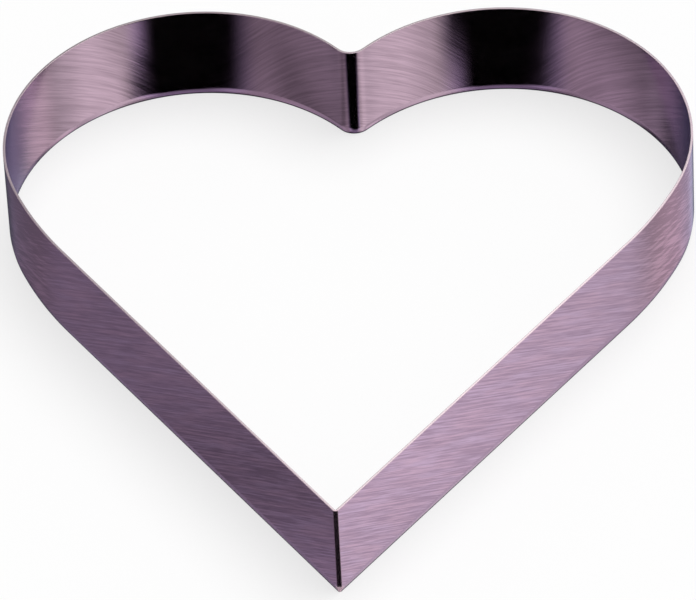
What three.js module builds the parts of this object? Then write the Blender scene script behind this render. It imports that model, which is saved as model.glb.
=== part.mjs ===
// Heart cake ring: one stainless strip standing on edge, bent to a heart and closed by a weld at the point.
// Millimetres, +Z up. The point faces -Y, the notch faces +Y and the lower rim stands on z = 0.
// The origin lies on the ground in the middle of the heart's width and depth.

import * as THREE from 'three';

const DEGREE = Math.PI / 180;

// Strip
const stripHeight = 40;
const stripGauge = 0.9;
const edgeRadius = 0.15; // rounding of the strip's deburred edges

// Heart, measured on the outer face of the strip
const overallWidth = 250; // across both lobes
const pointAngle = 74 * DEGREE; // between the two straight sides
const sideRadius = 148; // gentle swell where a straight side runs into its lobe
const sideTurn = 14.2 * DEGREE; // how far that swell turns the strip
const lobeRadius = 70;
const notchRadius = 6;
const notchFlank = 2; // straight stretch between a lobe and the notch bend

// Weld at the point
const rootGap = 0.3; // between the strip's two cut ends, at their inner corners
const weldClearance = 0.02; // between the filler and each cut end
const weldCrown = 0.1; // rise of the dressed weld in front of the strip's outer corners
const weldEdgeRadius = 0.1;

// Faceting
const facetDeviation = 0.02; // between a true arc and its chords
const bevelSteps = 3; // facets across a rounded edge

// Directions of the right-hand straight side. Its outer face, produced, passes through the plan's zero,
// which is the sharp point that both outer faces aim at.
const sideSlope = Math.PI / 2 - pointAngle / 2;
const alongSide = new THREE.Vector2(Math.cos(sideSlope), Math.sin(sideSlope));
const outOfSide = new THREE.Vector2(alongSide.y, -alongSide.x);

// Angles of the outward normal at both ends of the swell
const sideNormal = sideSlope - Math.PI / 2;
const swellEnd = sideNormal + sideTurn;

function pointAt(centre, radius, angle) {
  return new THREE.Vector2(centre.x + radius * Math.cos(angle), centre.y + radius * Math.sin(angle));
}

// Centre of the swell: as far out as puts the widest place of the strip at half the overall width
const zero = new THREE.Vector2(0, 0);
const reachOfLobe = pointAt(zero, sideRadius - lobeRadius, swellEnd).x + lobeRadius;
const reach = swellEnd < 0 ? reachOfLobe : sideRadius;
const sideLength = (overallWidth / 2 + sideRadius * outOfSide.x - reach) / alongSide.x;
const swellCentre = alongSide.clone().multiplyScalar(sideLength).addScaledVector(outOfSide, -sideRadius);
const lobeCentre = pointAt(swellCentre, sideRadius - lobeRadius, swellEnd);

// Centre of the notch bend: on the axis of symmetry, with the straight flank tangent to it and to the lobe.
// The lobe ends where its outward normal is square to that flank.
const radiiAcrossFlank = lobeRadius + notchRadius;
const lobeToNotch = Math.hypot(radiiAcrossFlank, notchFlank);
const notchRise = Math.sqrt(lobeToNotch ** 2 - lobeCentre.x ** 2);
const notchCentre = new THREE.Vector2(0, lobeCentre.y + notchRise);
const lobeEnd = Math.atan2(notchRise, -lobeCentre.x) - Math.atan2(notchFlank, radiiAcrossFlank);

// Distance of the cut ends from the plan's zero, along the outer face
const cutDistance = (rootGap / 2 + stripGauge * outOfSide.x) / alongSide.x;

// A place on the right-hand side, at a distance from the plan's zero and a depth under the outer face
function onSide(distance, depth) {
  return alongSide.clone().multiplyScalar(distance).addScaledVector(outOfSide, -depth);
}

function mirrored(points) {
  return points.map((p) => new THREE.Vector2(-p.x, p.y)).reverse();
}

// Points along an arc, both ends included, with chords that stay within the facet deviation
function arc(centre, radius, from, to) {
  const widestStep = 2 * Math.acos(1 - facetDeviation / radius);
  const steps = Math.ceil(Math.abs(to - from) / widestStep);
  return Array.from({ length: steps + 1 }, (_, i) => pointAt(centre, radius, from + ((to - from) * i) / steps));
}

// The right half of the strip's face that lies a depth under the outer one, from the cut end to the notch.
// The lobe is split where it reaches furthest, so that the facets keep the heart's full width and depth.
function halfFace(depth) {
  const lobe = lobeRadius - depth;
  const widest = Math.max(swellEnd, 0);
  return [
    onSide(cutDistance, depth),
    ...arc(swellCentre, sideRadius - depth, sideNormal, swellEnd),
    ...arc(lobeCentre, lobe, swellEnd, widest).slice(1),
    ...arc(lobeCentre, lobe, widest, Math.PI / 2).slice(1),
    ...arc(lobeCentre, lobe, Math.PI / 2, lobeEnd).slice(1),
    ...arc(notchCentre, notchRadius + depth, lobeEnd + Math.PI, 1.5 * Math.PI),
  ];
}

function wholeFace(depth) {
  const right = halfFace(depth);
  return [...right, ...mirrored(right).slice(1)];
}

// A plan outline raised to the strip's height, with its upper and lower edges rounded.
// The rounding leaves a flat at least a tenth of the gauge wide along each rim.
function raise(outline, radius) {
  const rounding = Math.min(radius, 0.45 * stripGauge);
  const geometry = new THREE.ExtrudeGeometry(new THREE.Shape(outline), {
    depth: stripHeight - 2 * rounding,
    bevelThickness: rounding,
    bevelSize: rounding,
    bevelOffset: -rounding,
    bevelSegments: bevelSteps,
  });
  geometry.translate(0, 0, rounding);
  return geometry;
}

// The strip: its outer face from one cut end round to the other, and back along its inner face
function heartBand() {
  const outline = [...wholeFace(0), ...wholeFace(stripGauge).reverse()];
  const steel = new THREE.MeshStandardMaterial({ color: 0xb79cb4, roughness: 0.32, metalness: 1 });
  const mesh = new THREE.Mesh(raise(outline, edgeRadius), steel);
  mesh.name = 'heart_band';
  return mesh;
}

// The weld: filler between the two cut ends, with a slightly crowned front
const weldCorner = onSide(cutDistance - weldClearance, 0);
const crownRadius = (weldCorner.x ** 2 + weldCrown ** 2) / (2 * weldCrown);
const crownCentre = new THREE.Vector2(0, weldCorner.y - weldCrown + crownRadius);

function pointWeld() {
  const spread = Math.asin(weldCorner.x / crownRadius);
  const crown = arc(crownCentre, crownRadius, -Math.PI / 2, -Math.PI / 2 + spread);
  const right = [...crown, onSide(cutDistance - weldClearance, stripGauge)];
  const filler = new THREE.MeshStandardMaterial({ color: 0x8d7688, roughness: 0.28, metalness: 1 });
  const mesh = new THREE.Mesh(raise([...right, ...mirrored(right).slice(0, -1)], weldEdgeRadius), filler);
  mesh.name = 'point_weld';
  return mesh;
}

const heart = new THREE.Group();
heart.add(heartBand(), pointWeld());

// The plan's zero moves forward, so that the origin is in the middle of the heart's depth
const foremost = weldCorner.y - weldCrown;
const rearmost = lobeCentre.y + lobeRadius;
heart.position.y = -(foremost + rearmost) / 2;

export default heart;
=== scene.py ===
import bpy
import numpy as np
from mathutils import Matrix, Vector


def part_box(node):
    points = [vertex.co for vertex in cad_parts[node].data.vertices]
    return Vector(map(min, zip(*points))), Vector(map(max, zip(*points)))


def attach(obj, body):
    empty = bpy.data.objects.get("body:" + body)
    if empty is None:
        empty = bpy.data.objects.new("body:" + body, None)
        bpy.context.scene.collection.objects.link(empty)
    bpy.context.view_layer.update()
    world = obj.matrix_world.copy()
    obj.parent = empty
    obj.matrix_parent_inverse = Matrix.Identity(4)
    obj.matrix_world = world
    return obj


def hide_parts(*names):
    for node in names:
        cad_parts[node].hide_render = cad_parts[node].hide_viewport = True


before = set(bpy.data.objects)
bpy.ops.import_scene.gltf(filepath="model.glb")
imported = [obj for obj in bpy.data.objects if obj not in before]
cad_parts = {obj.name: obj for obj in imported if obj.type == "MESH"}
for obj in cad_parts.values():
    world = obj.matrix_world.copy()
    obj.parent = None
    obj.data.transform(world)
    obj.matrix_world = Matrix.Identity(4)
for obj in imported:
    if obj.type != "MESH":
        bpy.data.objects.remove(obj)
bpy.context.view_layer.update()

# The strip: one length of thin stainless steel, sanded on both faces, with its upper edges rounded.
# It is bent on edge into a heart, with two straight sides, two lobes and a notch between them.
# The ring stands free on its foot, which draws in to a thin edge, and the two cut ends meet at the point.

MM = 0.001
strip_low, strip_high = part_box("heart_band")
strip_height = strip_high.z - strip_low.z
overall_width = strip_high.x - strip_low.x
strip_gauge = 0.9 * MM
rim_round = 0.15 * MM
foot_inset = 0.44 * MM
foot_rise = 3 * MM
foot_curve = 1.4
point_angle = np.radians(74)
swell_radius = 148 * MM
swell_turn = np.radians(14.2)
lobe_radius = 70 * MM
notch_radius = 6 * MM
notch_flank = 2 * MM
root_gap = 0.3 * MM

# Plan places are complex numbers, x + iy, with the sharp point that both sides aim at as zero.
# A heading is an angle, and the outer face lies to the right of it.
side_heading = np.pi / 2 - point_angle / 2
swell_heading = side_heading + swell_turn
along_side = np.exp(1j * side_heading)
out_of_side = -1j * along_side
out_of_swell = -1j * np.exp(1j * swell_heading)

# The straight side is as long as puts the widest place of the lobe at half the overall width.
side_to_lobe = (swell_radius - lobe_radius) * out_of_swell - swell_radius * out_of_side
side_length = (overall_width / 2 - lobe_radius - side_to_lobe.real) / along_side.real
lobe_centre = along_side * side_length + side_to_lobe

# The notch bend has its centre on the axis, with the straight flank tangent to it and to the lobe.
radii_across_flank = lobe_radius + notch_radius
notch_rise = np.sqrt(radii_across_flank**2 + notch_flank**2 - lobe_centre.real**2)
flank_normal = np.arctan2(notch_rise, -lobe_centre.real) - np.arctan2(notch_flank, radii_across_flank)
flank_heading = flank_normal + np.pi / 2
lobe_turn = flank_heading - swell_heading
notch_turn = flank_heading - np.pi
cut_distance = (root_gap / 2 + strip_gauge * out_of_side.real) / along_side.real

# Lengths that are fed, the angles that they are turned by, and the longest step from station to station,
# from the right-hand cut end to the axis.
end_length = 3 * MM
end_step = 0.1 * MM
bend_step = 1.2 * MM
widest_turn = np.radians(1.2)
half_bends = [
    (end_length, 0, end_step),
    (side_length - cut_distance - end_length, 0, bend_step),
    (swell_radius * swell_turn, swell_turn, bend_step),
    (lobe_radius * lobe_turn, lobe_turn, bend_step),
    (notch_flank, 0, bend_step),
    (notch_radius * notch_turn, -notch_turn, bend_step),
]


def bent_path(start, heading, bends):
    """Stations along a strip that is bent stretch by stretch: their places, headings and distances.

    Each stretch turns evenly along its length. From one station to the next the path moves by the chord of
    that bit of arc, length * sin(turn / 2) / (turn / 2), which points halfway between the two headings.
    """
    lengths, turns, steps = np.array(bends).T
    count = np.ceil(np.maximum(lengths / steps, np.abs(turns) / widest_turn)).astype(int)
    run = np.repeat(lengths / count, count)
    turn = np.repeat(turns / count, count)
    headings = heading + np.cumsum(turn)
    chords = run * np.sinc(turn / (2 * np.pi)) * np.exp(1j * (headings - turn / 2))
    places = start + np.append(0, np.cumsum(chords))
    return places, np.append(heading, headings), np.append(0, np.cumsum(run))


def strip_section(wall_rows, edge_rows):
    """Depths under the outer face, and heights, round the section: up the outer wall and down the inner.

    A quarter circle eases both upper edges. Along the foot both faces draw in by a power of the share of
    the way down. The rows of a wall are spaced by a cosine, so that they gather towards its ends.
    """
    share = (1 - np.cos(np.linspace(0, np.pi, wall_rows + 2)[1:-1])) / 2
    wall = foot_rise + (strip_height - rim_round - foot_rise) * share
    angle = np.linspace(0, np.pi / 2, edge_rows)
    rim_depth = rim_round * (1 - np.cos(angle))
    rim_height = strip_height - rim_round * (1 - np.sin(angle))
    down = np.linspace(0, 1, edge_rows)
    foot_depth = foot_inset * down**foot_curve
    foot_height = foot_rise * (1 - down)
    outer_depth = np.concatenate([foot_depth[::-1], np.zeros(wall_rows), rim_depth])
    outer_height = np.concatenate([foot_height[::-1], wall, rim_height])
    depths = np.concatenate([outer_depth, strip_gauge - outer_depth[::-1]])
    return depths, np.concatenate([outer_height, outer_height[::-1]])


def ring_mesh(name, plan, height, cap_first, cap_last):
    """A mesh of quads between neighbouring rings of plan places at their heights.

    A flat cap closes the first ring or the last, where that is asked for.
    """
    points = np.stack([plan.real, plan.imag, np.broadcast_to(height, plan.shape)], axis=-1)
    index = np.arange(plan.size).reshape(plan.shape)
    beside = np.roll(index, -1, axis=1)
    quads = np.stack([index[:-1], index[1:], beside[1:], beside[:-1]], axis=-1)
    faces = quads.reshape(-1, 4).tolist()
    if cap_first:
        faces.append(index[0].tolist())
    if cap_last:
        faces.append(index[-1, ::-1].tolist())
    mesh = bpy.data.meshes.new(name)
    mesh.from_pydata(points.reshape(-1, 3), [], faces)
    mesh.shade_smooth()
    return mesh


def add_object(name, mesh, material):
    """Links an object at the origin that shows a mesh in one material."""
    mesh.materials.append(material)
    piece = bpy.data.objects.new(name, mesh)
    bpy.context.scene.collection.objects.link(piece)
    return piece


sharp_point = 1j * (strip_high.y - lobe_centre.imag - lobe_radius)
first_place = sharp_point + along_side * cut_distance
places, headings, distances = bent_path(first_place, side_heading, half_bends + half_bends[::-1])
section_depth, section_height = strip_section(wall_rows=14, edge_rows=12)

# The outer corner of each cut end is eased where the weld was dressed: close to the end the outer wall
# sinks in by the rise of an arc that turns from the side into the weld's face.
ease_radius = 0.25 * MM
ease_length = ease_radius * np.tan(side_heading / 2)
half_length = distances[-1] / 2
from_end = half_length - np.abs(distances - half_length)
into_ease = np.maximum(ease_length - from_end, 0)
ease = ease_radius - np.sqrt(ease_radius**2 - into_ease**2)
depth = section_depth + ease[:, None] * (1 - section_depth / strip_gauge)
plan = places[:, None] + depth * (1j * np.exp(1j * headings))[:, None]
strip_mesh = ring_mesh("sanded_strip", plan, section_height, cap_first=True, cap_last=True)

# Sanding marks follow the strip. Outside they climb evenly towards the point. Inside they climb on both
# sides of the back of each lobe, by a hyperbola less a bell-shaped valley. The attribute holds the distance
# along the strip, the height over such a mark, and the depth in the steel.
outer_climb = np.tan(np.radians(33))
inner_climb = np.tan(np.radians(42))
bowl_radius = 50 * MM
valley_depth = 19 * MM
valley_reach = 24 * MM
to_swell_end = side_length - cut_distance + swell_radius * swell_turn
back_of_lobe = to_swell_end + lobe_radius * (np.pi - swell_heading)
outer_mark = -outer_climb * from_end
from_back = from_end - back_of_lobe
bowl = inner_climb * (np.hypot(from_back, bowl_radius) - bowl_radius)
inner_mark = bowl - valley_depth * np.exp(-((from_back / valley_reach) ** 2))
inside = section_depth / strip_gauge
mark = outer_mark[:, None] * (1 - inside) + inner_mark[:, None] * inside
grain = np.stack(np.broadcast_arrays(distances[:, None], section_height - mark, section_depth), axis=-1)
strip_mesh.attributes.new("grain", "FLOAT_VECTOR", "POINT").data.foreach_set("vector", grain.ravel())


class Field:
    """A value that varies over a surface: an output socket of a material's node tree, or none at the start.

    Arithmetic on fields and numbers adds Math nodes. Any other node comes from node().
    """

    def __init__(self, tree, socket=None):
        self.tree = tree
        self.socket = socket

    def node(self, kind, settings, inputs, output=0):
        """Adds a node, sets its properties, feeds its sockets fields or constants, and gives one output."""
        node = self.tree.nodes.new(kind)
        for name, value in settings.items():
            setattr(node, name, value)
        for name, value in inputs.items():
            if isinstance(value, Field):
                self.tree.links.new(value.socket, node.inputs[name])
            else:
                node.inputs[name].default_value = value
        return Field(self.tree, node.outputs[output] if node.outputs else None)

    def math(self, operation, *values):
        """One Math node on fields or numbers."""
        return self.node("ShaderNodeMath", {"operation": operation}, dict(enumerate(values)))

    def __add__(self, other):
        return self.math("ADD", self, other)

    def __sub__(self, other):
        return self.math("SUBTRACT", self, other)

    def __rsub__(self, other):
        return self.math("SUBTRACT", other, self)

    def __mul__(self, other):
        return self.math("MULTIPLY", self, other)

    def __abs__(self):
        return self.math("ABSOLUTE", self)

    __radd__ = __add__
    __rmul__ = __mul__

    def axis(self, index):
        """One of a vector's three parts."""
        return self.node("ShaderNodeSeparateXYZ", {}, {0: self}, index)

    def rise(self, start, full):
        """0 up to start, 1 from full on, with a smooth step between them. Start may be the larger one."""
        sockets = {"Value": self, "From Min": start, "From Max": full}
        return self.node("ShaderNodeMapRange", {"interpolation_type": "SMOOTHSTEP"}, sockets)

    def between(self, start, full, fading, end):
        """1 from full to fading, and 0 up to start and from end on, with a smooth step on either side."""
        return self.rise(start, full) * self.rise(end, fading)

    def blend(self, first, second):
        """The first colour where this is 0 and the second where it is 1."""
        return self.node("ShaderNodeMix", {"data_type": "RGBA"}, {0: self, 6: first, 7: second}, 2)

    def noise(self, cell, detail):
        """Noise from 0 to 1 over this vector, in cells of the given three lengths."""
        scaled = self.node("ShaderNodeVectorMath", {"operation": "DIVIDE"}, {0: self, 1: cell})
        return self.node("ShaderNodeTexNoise", {}, {"Vector": scaled, "Scale": 1, "Detail": detail})


def new_material(name):
    """A material with an empty node tree, and the field that its first nodes come from."""
    material = bpy.data.materials.new(name)
    material.use_nodes = True
    material.node_tree.nodes.clear()
    return material, Field(material.node_tree)


inner_light = (0.93, 0.745, 0.86, 1)
inner_dark = (0.61, 0.49, 0.565, 1)
# The bluish dark inside the lobes next to their swells is painted shade with a painted bluish reflection.
painted_shade_blue = (0.55, 0.49, 0.60, 1)
outer_pink = (1.0, 0.76, 0.925, 1)
outer_lilac = (0.96, 0.775, 0.985, 1)
outer_dark = (0.65, 0.50, 0.64, 1)
rosy_light = (1.0, 0.73, 0.85, 1)
rosy_dark = (0.63, 0.46, 0.53, 1)
rim_bright = (1.0, 0.85, 0.90, 1)
dressed_pink = (1.0, 0.74, 0.84, 1)
# A painted contact shadow along the lowest edge.
painted_foot_shadow = (0.12, 0.09, 0.11, 1)
edge_tint = (0.69, 0.75, 0.86, 1)

# Cells of noise along the sanding marks, across them and through the steel.
# A contrast holds the values of the noise that count as fully dark and fully light.
through_steel = 0.25 * MM
long_streak = (30 * MM, 0.9 * MM, through_steel)
fine_streak = (9 * MM, 0.5 * MM, through_steel)
mottled_mark = (12 * MM, 1.4 * MM, through_steel)
broad_cloud = (45 * MM, 10 * MM, through_steel)
hue_cloud = (22 * MM, 5 * MM, through_steel)
mark_contrast = (0.36, 0.64)
hue_contrast = (0.35, 0.65)
ridge_height = 0.006 * MM

# Distances from the nearer cut end. A stretch starts, is full, fades and ends at its four distances.
# A reach starts at its first distance and is full from its second one to the cut end.
worked_stretch = (165 * MM, 190 * MM, 220 * MM, 245 * MM)
rosy_stretch = (165 * MM, 188 * MM, 200 * MM, 218 * MM)
# The dark stretch holds painted shade and a painted bluish reflection inside each lobe next to its swell.
painted_lobe_shade_stretch = (200 * MM, 215 * MM, 240 * MM, 264 * MM)
dull_stretch = (200 * MM, 215 * MM, 255 * MM, 300 * MM)
deep_reach = (200 * MM, 40 * MM)
# Where a painted highlight runs along the outer foot.
painted_highlight_reach = (150 * MM, 100 * MM)
dressed_reach = (1.6 * MM, 0.64 * MM)

# Heights where a band starts and is full.
rim_band = (strip_height - 0.2 * MM, strip_height - 0.08 * MM)
# Where painted shade darkens the swells towards the rim.
painted_rim_shade_band = (0.5 * strip_height, 0.9 * strip_height)
dressed_band = (foot_rise, 0.8 * foot_rise)
# Heights of the painted highlight along the outer foot.
painted_highlight_band = (2 * MM, 1.3 * MM)
# The lowest edge, painted dark as the ring's contact shadow.
foot_shadow_band = (0.75 * MM, 0.6 * MM)

# How far each mark moves the tone, which is 0 for dark and 1 for light, and what the inner face loses.
long_share = 0.6
streak_depth = 0.9
point_depth = 0.4
cloud_depth = 0.3
# Painted shade towards the rim on the swells.
painted_rim_shade_depth = 0.7
# Painted shade inside each lobe next to its swell.
painted_lobe_shade_depth = 0.9
inner_depth_loss = 0.12
inner_ridge_loss = 0.55
inner_roughness_loss = 0.6

bright_roughness = 0.05
streak_roughness = 0.09
dull_roughness = 0.15
matte_roughness = 0.18
rim_whiteness = 0.15
dressed_whiteness = 0.6


def sanded_steel():
    """Sanded stainless steel: streaks of noise are drawn out along the marks, in two sizes, over clouds.

    Their tone blends a dark steel into a light one and stands up as fine ridges, and the streaks vary the
    roughness. They are deeper near the point. Outside, the swells are rosy and mottled, and painted shade
    darkens them towards the rim. Inside, each lobe has painted shade and a painted bluish reflection next
    to its swell, and is duller a little further round. The upper rim and the dressed ends at the point are
    pale and matte. A painted highlight runs as a pale line along the outer foot of each straight side, and
    the lowest edge is painted dark as a contact shadow.
    """
    material, start = new_material("sanded_steel")
    grain_at = start.node("ShaderNodeAttribute", {"attribute_name": "grain"}, {}, "Vector")
    along, under = grain_at.axis(0), grain_at.axis(2)
    level = start.node("ShaderNodeTexCoord", {}, {}, "Object").axis(2)
    distance = half_length - abs(along - half_length)
    within = under * (1 / strip_gauge)

    long_streaks = grain_at.noise(long_streak, detail=2).rise(*mark_contrast)
    fine_streaks = grain_at.noise(fine_streak, detail=2).rise(*mark_contrast)
    streaks = long_share * long_streaks + (1 - long_share) * fine_streaks
    clouds = grain_at.noise(broad_cloud, detail=1)
    hue_clouds = grain_at.noise(hue_cloud, detail=2).rise(*hue_contrast)

    # The mottled marks climb half as steeply as the streaks.
    halfway = 0.5 * (level + grain_at.axis(1))
    swept = start.node("ShaderNodeCombineXYZ", {}, {0: along, 1: halfway, 2: under})
    mottle = swept.noise(mottled_mark, detail=2).rise(*mark_contrast)

    worked = distance.between(*worked_stretch) * (1 - within)
    rosy = distance.between(*rosy_stretch) * (1 - within)
    # Painted shade: the swells darken towards the rim.
    painted_rim_shade = rosy * level.rise(*painted_rim_shade_band)
    # Painted shade and a painted bluish reflection inside each lobe next to its swell.
    painted_lobe_shade = distance.between(*painted_lobe_shade_stretch) * within
    dulled = distance.between(*dull_stretch) * within
    rim = level.rise(*rim_band)
    # The lowest edge is painted dark as a contact shadow.
    foot = level.rise(*foot_shadow_band)
    dressed = distance.rise(*dressed_reach) * level.rise(*dressed_band)
    bared = dressed * (1 - foot)
    # A painted highlight: a pale line along the outer foot of the straight sides.
    painted_foot_highlight = distance.rise(*painted_highlight_reach) * level.rise(*painted_highlight_band) * (1 - within)

    # The middle tone is 0.5, and each kind of noise swings about its own middle, which is 0.5 too.
    deeper = streak_depth + point_depth * distance.rise(*deep_reach) - inner_depth_loss * within
    clouding = cloud_depth * (clouds - 0.5) + worked * (mottle - 0.5)
    # The painted shade is taken off the tone here.
    shades = clouding - painted_rim_shade_depth * painted_rim_shade - painted_lobe_shade_depth * painted_lobe_shade
    tone = 0.5 + deeper * (streaks - 0.5) + shades
    light = within.blend(rosy.blend(hue_clouds.blend(outer_pink, outer_lilac), rosy_light), inner_light)
    # Inside, the dark steel turns bluish where the painted shade lies.
    dark = within.blend(rosy.blend(outer_dark, rosy_dark), painted_lobe_shade.blend(inner_dark, painted_shade_blue))
    # The painted contact shadow covers the lowest edge.
    steel = foot.blend(tone.blend(dark, light), painted_foot_shadow)
    # The painted highlight along the outer foot is pale like the rim.
    pale = rim + bared + painted_foot_highlight * (1 - dressed) * (1 - foot)
    pale_steel = dressed.blend(rim_bright, dressed_pink)

    marked = streak_roughness * streaks * (1 - inner_roughness_loss * within)
    matte = rim + bared
    ridge = tone * (1 - rim) * (1 - inner_ridge_loss * within)
    ridges = {"Height": ridge, "Distance": ridge_height, "Strength": 1}
    shader = {
        "Base Color": pale.blend(steel, pale_steel),
        "Metallic": 1 - rim_whiteness * rim - dressed_whiteness * bared,
        "Roughness": bright_roughness + marked + dull_roughness * dulled + matte_roughness * matte,
        "Specular Tint": edge_tint,
        "Normal": start.node("ShaderNodeBump", {}, ridges),
    }
    surface = start.node("ShaderNodeBsdfPrincipled", {}, shader)
    start.node("ShaderNodeOutputMaterial", {}, {"Surface": surface})
    return material


strip = add_object("sanded_strip", strip_mesh, sanded_steel())
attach(strip, "root")
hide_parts("heart_band")

# The weld: a seam of stainless filler that joins the strip's two cut ends at the point, from rim to rim.
# It is dressed with a file to a narrow, slightly crowned face.
# Its lowest end and its rim stay pale and matte.

weld_clearance = 0.02 * MM
weld_crown = 0.1 * MM
weld_distance = cut_distance - weld_clearance


def weld_sections(inset, face_points):
    """Plan places round the weld for each inset: an arc across its face, then both sides at the cut ends.

    The front corners lie an inset under the strip's outer faces, and the face's arc rises in front of them
    by the crown. The back corners lie an inset in front of the strip's inner faces.
    """
    corner = along_side * weld_distance - inset[:, None] * out_of_side
    arc_radius = (corner.real**2 + weld_crown**2) / (2 * weld_crown)
    angle = np.arcsin(corner.real / arc_radius) * np.linspace(-1, 1, face_points)
    face = 1j * (corner.imag - weld_crown + arc_radius) - 1j * arc_radius * np.exp(1j * angle)
    back = along_side * weld_distance - (strip_gauge - inset[:, None]) * out_of_side
    return np.concatenate([face, back, -back.conjugate()], axis=1)


# Rings of the section from the ground up, drawn in as the strip's outer face is.
weld_rows = section_depth.size // 2
weld_plan = sharp_point + weld_sections(section_depth[:weld_rows], face_points=13)
weld_height = section_height[:weld_rows, None]
weld_mesh = ring_mesh("dressed_weld", weld_plan, weld_height, cap_first=True, cap_last=True)

weld_light = (0.80, 0.64, 0.74, 1)
weld_dark = (0.62, 0.49, 0.58, 1)
file_mark = (2 * MM, 2 * MM, 0.15 * MM)
weld_cloud = (1.5 * MM, 1.5 * MM, 2.5 * MM)
weld_contrast = (0.3, 0.7)
file_share = 0.6
file_ridge_height = 0.004 * MM
weld_roughness = 0.14
cloud_roughness = 0.12
end_roughness = 0.2
end_whiteness = 0.75


def dressed_steel():
    """Filed weld metal: short file marks run across the seam, and the fused metal is clouded along it."""
    material, start = new_material("dressed_weld")
    place = start.node("ShaderNodeTexCoord", {}, {}, "Object")
    file_marks = place.noise(file_mark, detail=2)
    clouds = place.noise(weld_cloud, detail=2)
    tone = file_share * file_marks + (1 - file_share) * clouds
    level = place.axis(2)
    matte = level.rise(*rim_band) + level.rise(*dressed_band)
    ridges = {"Height": tone, "Distance": file_ridge_height, "Strength": 1}
    shader = {
        "Base Color": matte.blend(tone.rise(*weld_contrast).blend(weld_dark, weld_light), dressed_pink),
        "Metallic": 1 - end_whiteness * matte,
        "Roughness": weld_roughness + cloud_roughness * clouds + end_roughness * matte,
        "Normal": start.node("ShaderNodeBump", {}, ridges),
    }
    surface = start.node("ShaderNodeBsdfPrincipled", {}, shader)
    start.node("ShaderNodeOutputMaterial", {}, {"Surface": surface})
    return material


weld = add_object("dressed_weld", weld_mesh, dressed_steel())
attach(weld, "root")
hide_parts("point_weld")

# The floor: a plain pale sheet that the ring stands on, under a broad soft lamp and a pale room.
# The lamp hangs nearly overhead, a little to the right and behind.
# So the ring drops a soft shadow at its foot.

disc_rings = 39
disc_sides = 96
floor_radius = 14.0
floor_drop = 0.02 * MM
floor_pale = (0.97, 0.97, 0.97, 1)
floor_glow = 0.72
room_white = (1, 1, 1, 1)
room_share = 0.3
lamp_direction = Vector((0.22, 0.25, 1))
lamp_breadth = np.radians(50)


def full_turn(sides):
    """Places round a circle of radius one about the axis, evenly spaced."""
    return np.exp(1j * np.linspace(0, 2 * np.pi, sides, endpoint=False))


def disc_mesh(name, radius, level):
    """A flat round sheet: rings about the axis, whose radius grows with the square of the ring's share."""
    share = np.arange(1, disc_rings + 1) / disc_rings
    rings = radius * share[:, None] ** 2 * full_turn(disc_sides)
    return ring_mesh(name, rings, level, cap_first=True, cap_last=False)


# To the camera a share of the sheet is white by itself, which keeps the shadow pale.
floor_finish, floor_start = new_material("pale_floor")
floor_sheet = floor_start.node("ShaderNodeBsdfDiffuse", {}, {"Color": floor_pale})
floor_white = floor_start.node("ShaderNodeEmission", {}, {"Strength": 1})
seen = floor_start.node("ShaderNodeLightPath", {}, {}, "Is Camera Ray")
floor_mix = {0: floor_glow * seen, 1: floor_sheet, 2: floor_white}
floor_surface = floor_start.node("ShaderNodeMixShader", {}, floor_mix)
floor_start.node("ShaderNodeOutputMaterial", {}, {"Surface": floor_surface})
floor = add_object("pale_floor", disc_mesh("pale_floor", floor_radius, -floor_drop), floor_finish)
floor.visible_glossy = False

# A sun of strength pi, straight overhead, shows a level sheet in its own colour. The room gives a share.
lamp_light = bpy.data.lights.new("broad_lamp", "SUN")
lamp_light.energy = np.pi * (1 - room_share) / lamp_direction.normalized().z
lamp_light.angle = lamp_breadth
lamp = bpy.data.objects.new("broad_lamp", lamp_light)
lamp.rotation_euler = lamp_direction.to_track_quat("Z", "Y").to_euler()
lamp.visible_glossy = False
bpy.context.scene.collection.objects.link(lamp)

world = bpy.data.worlds.new("pale_room")
bpy.context.scene.world = world
world.use_nodes = True
world.node_tree.nodes["Background"].inputs["Color"].default_value = room_white
world.node_tree.nodes["Background"].inputs["Strength"].default_value = room_share

# The studio: what the steel mirrors. A mirror-bright glass plate lies close under the ring, in a drum of
# cards and soft boxes: a key on the right, a dim fill on the left, a black card in front that is lit at its
# top and its foot, and a pale card behind, under a light lid. Only the ring's steel shows them.

plate_depth = 0.3 * MM
plate_radius = 0.6
plate_white = (1, 1, 1, 1)
plate_roughness = 0.04
plate_finish, plate_start = new_material("glass_plate")
mirror = {"Base Color": plate_white, "Metallic": 1, "Roughness": plate_roughness}
plate_surface = plate_start.node("ShaderNodeBsdfPrincipled", {}, mirror)
plate_start.node("ShaderNodeOutputMaterial", {}, {"Surface": plate_surface})
plate = add_object("glass_plate", disc_mesh("glass_plate", plate_radius, -plate_depth), plate_finish)

drum_radius = 0.55
drum_top = 1.1
drum_corner = 0.1
lid_middle = 0.02
drum_sides = 144
drum_wall_rows = 29
drum_corner_rows = 8


def drum_mesh(name):
    """A drum with a closed lid: a profile of wall, rounded corner and lid, turned about the axis."""
    bend = np.linspace(0, np.pi / 2, drum_corner_rows)
    wall_up = np.linspace(-plate_depth, drum_top - drum_corner, drum_wall_rows, endpoint=False)
    corner_out = drum_radius - drum_corner + drum_corner * np.cos(bend)
    corner_up = drum_top - drum_corner + drum_corner * np.sin(bend)
    out = np.concatenate([np.full(wall_up.shape, drum_radius), corner_out, [lid_middle]])
    up = np.concatenate([wall_up, corner_up, [drum_top]])
    rings = out[:, None] * full_turn(drum_sides)
    return ring_mesh(name, rings, up[:, None], cap_first=False, cap_last=True)


warm_light = (1, 0.885, 0.95, 1)
rose_light = (1, 0.81, 0.88, 1)
lilac_light = (1, 0.80, 1.0, 1)
purple_light = (0.95, 0.76, 1.17, 1)
blue_light = (0.93, 0.97, 1.2, 1)
plain_light = (1, 0.97, 0.97, 1)

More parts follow.
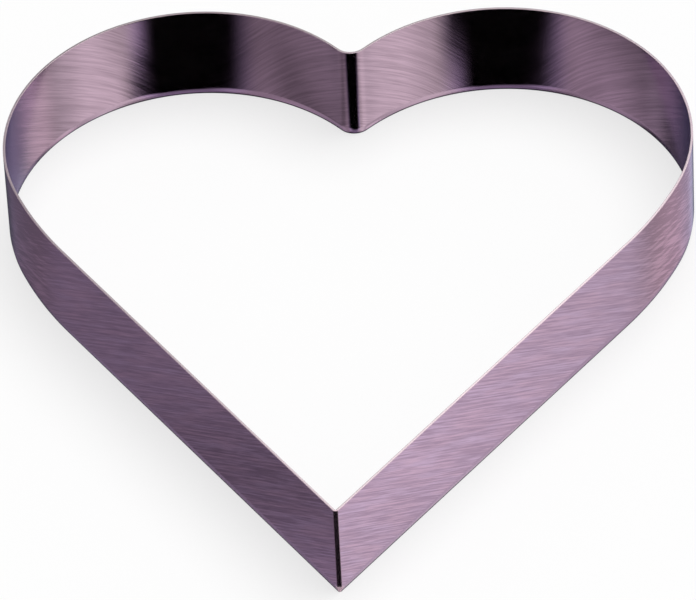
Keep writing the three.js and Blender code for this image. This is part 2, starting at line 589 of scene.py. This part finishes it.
# Heights on the drum where a part of it starts and is full, and how far a leaning edge turns, in degrees.
low_part = (0.47, 0.42)
far_part = (0.58, 0.61)
near_lean = (0.53, 0.58)
far_lean = (0.61, 0.66)
edge_lean = 7


def studio_light():
    """Light of the drum by bearing, in degrees from the front and growing to the right, and by height.

    The light of a box rises and falls smoothly at its two edges. The outer faces mirror the low part of a
    box, the lobe that is nearer to it a part above that, and the farther lobe a part that reaches higher.
    The front edges of the key and of the fill lean, once for the nearer lobe and again for the farther one.
    A term in far is what differs for the farther lobe.
    """
    material, start = new_material("studio_boxes")
    place = start.node("ShaderNodeTexCoord", {}, {}, "Object")
    across, depth, level = place.axis(0), place.axis(1), place.axis(2)
    bearing = start.math("ARCTAN2", across, -1 * depth) * np.degrees(1)
    low = level.rise(*low_part)
    far = level.rise(*far_part)
    lean = edge_lean * (level.rise(*near_lean) - far + level.rise(*far_lean)) - edge_lean / 2

    def box(light, left, right, edge, angle=bearing):
        """Light between two bearings, with smooth steps that reach an edge to both sides of each."""
        return light * angle.between(left - edge, left + edge, right - edge, right + edge)

    # The key: a main box with a brighter middle, a slight gap, a brighter end and a narrow strip high up.
    key_angle = bearing + lean * (1.8 + 0.7 * far)
    main_key = box(light=0.46, left=39 + 2 * far, right=148, edge=9, angle=key_angle)
    middle_start = (bearing + 16 * far).rise(start=50, full=74)
    middle_end = (bearing + 11 * level.rise(start=0.51, full=0.55)).rise(start=112, full=90)
    key_middle = 0.18 * middle_start * middle_end
    key_gap = level.rise(start=0.48, full=0.52) * box(light=0.05, left=104, right=118, edge=6)
    key_end = box(light=0.13, left=118, right=142, edge=8)
    low_key_end = low * box(light=0.32, left=146, right=158, edge=8)
    strip_heights = level.between(start=0.62, full=0.68, fading=0.84, end=0.90)
    high_strip = strip_heights * box(light=0.38, left=108, right=119, edge=4)
    key = main_key + key_middle - key_gap + key_end + low_key_end + high_strip

    # The fill: a dim box that is brightest high up, where the farther lobe mirrors it.
    fill_gap = far * box(light=0.05, left=-74, right=-46, edge=5)
    upper_light = 0.2 * level.rise(start=0.51, full=0.62)
    lower_light = 0.06 * level.rise(start=0.50, full=0.47)
    fill_light = 0.125 + upper_light + lower_light - fill_gap
    fill_angle = bearing - lean * (0.3 + 2 * far) - 8.5 * far + 2
    main_fill = box(light=fill_light, left=-136, right=-38, edge=13 + 5 * far, angle=fill_angle)
    fill_start = (1 - far) * box(light=0.035, left=-62, right=-38, edge=8)
    low_fill = low * box(light=0.04, left=-101, right=-80, edge=5)
    fill_end = (1 - low) * box(light=0.05, left=-132, right=-116, edge=6)
    low_fill_end = low * box(light=0.1, left=-158, right=-134, edge=8)
    fill = main_fill + fill_start + low_fill + fill_end + low_fill_end

    # The black card in front is lit at its top and its foot. The pale card behind is brighter towards its
    # top and the right, over a dim light, and the lid is brighter towards the rear and the right.
    front = box(light=1, left=-42, right=42, edge=10)
    front_top = 0.17 * front * level.rise(start=0.82, full=1.04)
    front_foot = 0.2 * front * level.rise(start=0.30, full=0.20)
    behind = abs(bearing).rise(start=150, full=165)
    card = level.rise(start=0.43, full=0.47)
    card_upwards = 0.75 + 0.35 * level.rise(start=0.46, full=0.64)
    card_rightwards = 0.4 + 0.95 * across.rise(start=-0.13, full=0.12)
    dim_light = 0.02 + 0.05 * across.rise(start=-0.04, full=0.04)
    back = behind * (card * card_upwards * card_rightwards + dim_light)
    above = level.rise(start=1.02, full=1.09)
    lid_rearwards = 0.2 + 0.8 * depth.rise(start=-0.3, full=0.1)
    lid_rightwards = 0.4 + 0.6 * across.rise(start=-0.35, full=0.05)
    walls = key + fill + front_top + front_foot + back
    amount = walls * (1 - above) + above * lid_rearwards * lid_rightwards

    # The light is warm and rosy on the right, lilac on the left, purple in front and blue towards the back.
    # The card behind is plain, and so is the rear of the lid.
    right_side = bearing.rise(start=105, full=125).blend(warm_light, rose_light)
    sides = bearing.rise(start=5, full=-5).blend(right_side, lilac_light)
    in_front = abs(bearing).rise(start=50, full=30) * level.rise(start=0.30, full=0.38)
    fronts = in_front.blend(sides, purple_light)
    flanks = abs(bearing).rise(start=140, full=166).blend(fronts, blue_light)
    plain = (behind * card + above * depth.rise(start=-0.3, full=0)).rise(start=0, full=1)
    tint = plain.blend(flanks, plain_light)
    glow = start.node("ShaderNodeVectorMath", {"operation": "SCALE"}, {0: tint, "Scale": amount})
    surface = start.node("ShaderNodeEmission", {}, {"Color": glow, "Strength": 1})
    start.node("ShaderNodeOutputMaterial", {}, {"Surface": surface})
    return material


studio = add_object("studio_drum", drum_mesh("studio_drum"), studio_light())
for card in (plate, studio):
    card.visible_camera = False
    card.visible_diffuse = False
    card.visible_shadow = False

# The camera: a long lens that looks down on the point, a little from the right and slightly rolled.
# It is placed about a target on the axis, which falls off the middle of the picture.

picture_width = 696
sensor_width = 36
focal_pixels = 8592
camera_distance = 3.0555
camera_elevation = np.radians(43.23)
camera_azimuth = np.radians(3.29)
camera_roll = np.radians(-2.99)
target = np.array([0, -0.0321, 0.02])
target_right_pixels = -4.1
target_up_pixels = -55.0
farthest_seen = 100

away = np.array([
    np.sin(camera_azimuth) * np.cos(camera_elevation),
    -np.cos(camera_azimuth) * np.cos(camera_elevation),
    np.sin(camera_elevation),
])
level_right = np.array([np.cos(camera_azimuth), np.sin(camera_azimuth), 0])
level_up = np.cross(away, level_right)
right = np.cos(camera_roll) * level_right + np.sin(camera_roll) * level_up
up = np.cos(camera_roll) * level_up - np.sin(camera_roll) * level_right
pixel = camera_distance / focal_pixels
lens = bpy.data.cameras.new("camera")
lens.sensor_width = sensor_width
lens.lens = focal_pixels / picture_width * sensor_width
lens.clip_end = farthest_seen
camera = bpy.data.objects.new("camera", lens)
bpy.context.scene.collection.objects.link(camera)
turned = Matrix(np.column_stack([right, up, away])).to_4x4()
eye = target + away * camera_distance - pixel * (right * target_right_pixels + up * target_up_pixels)
camera.matrix_world = Matrix.Translation(eye) @ turned
bpy.context.scene.camera = camera
bpy.context.scene.view_settings.view_transform = "Standard"
